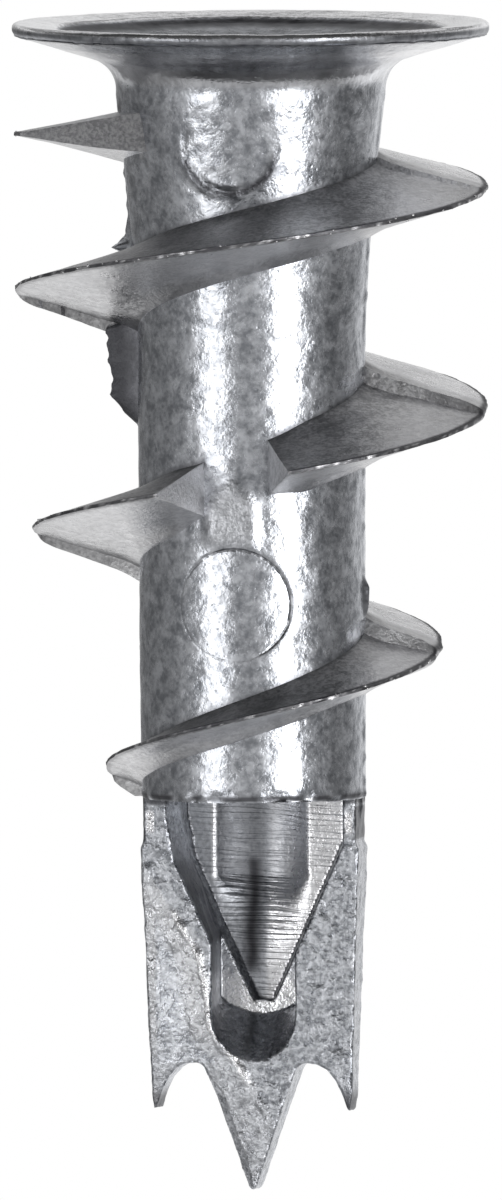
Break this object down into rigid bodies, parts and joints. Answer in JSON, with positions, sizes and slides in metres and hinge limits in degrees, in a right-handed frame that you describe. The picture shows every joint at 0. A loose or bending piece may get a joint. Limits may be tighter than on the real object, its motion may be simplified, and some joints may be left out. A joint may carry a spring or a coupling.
{
  "type": "drywall anchor",
  "caption": "Self-drilling zinc wall anchor with a flanged cross-recess head, a tapered body with a coarse deep thread, a screw bore and a forked flat drill tip.",
  "frame": {"origin": "on the axis in the plane of the head's flat face", "axes": "+Z along the axis from the head to the drill tip; -Y out of the flat blade on the side of its pocket; X across the blade"},
  "size_m": [0.013, 0.013, 0.0318],
  "materials": {
    "zinc": "as-cast zinc alloy, silver-grey, finely mottled, half gloss"
  },
  "bodies": {
    "root": {"anchor": "zinc"}
  },
  "joints": []
}
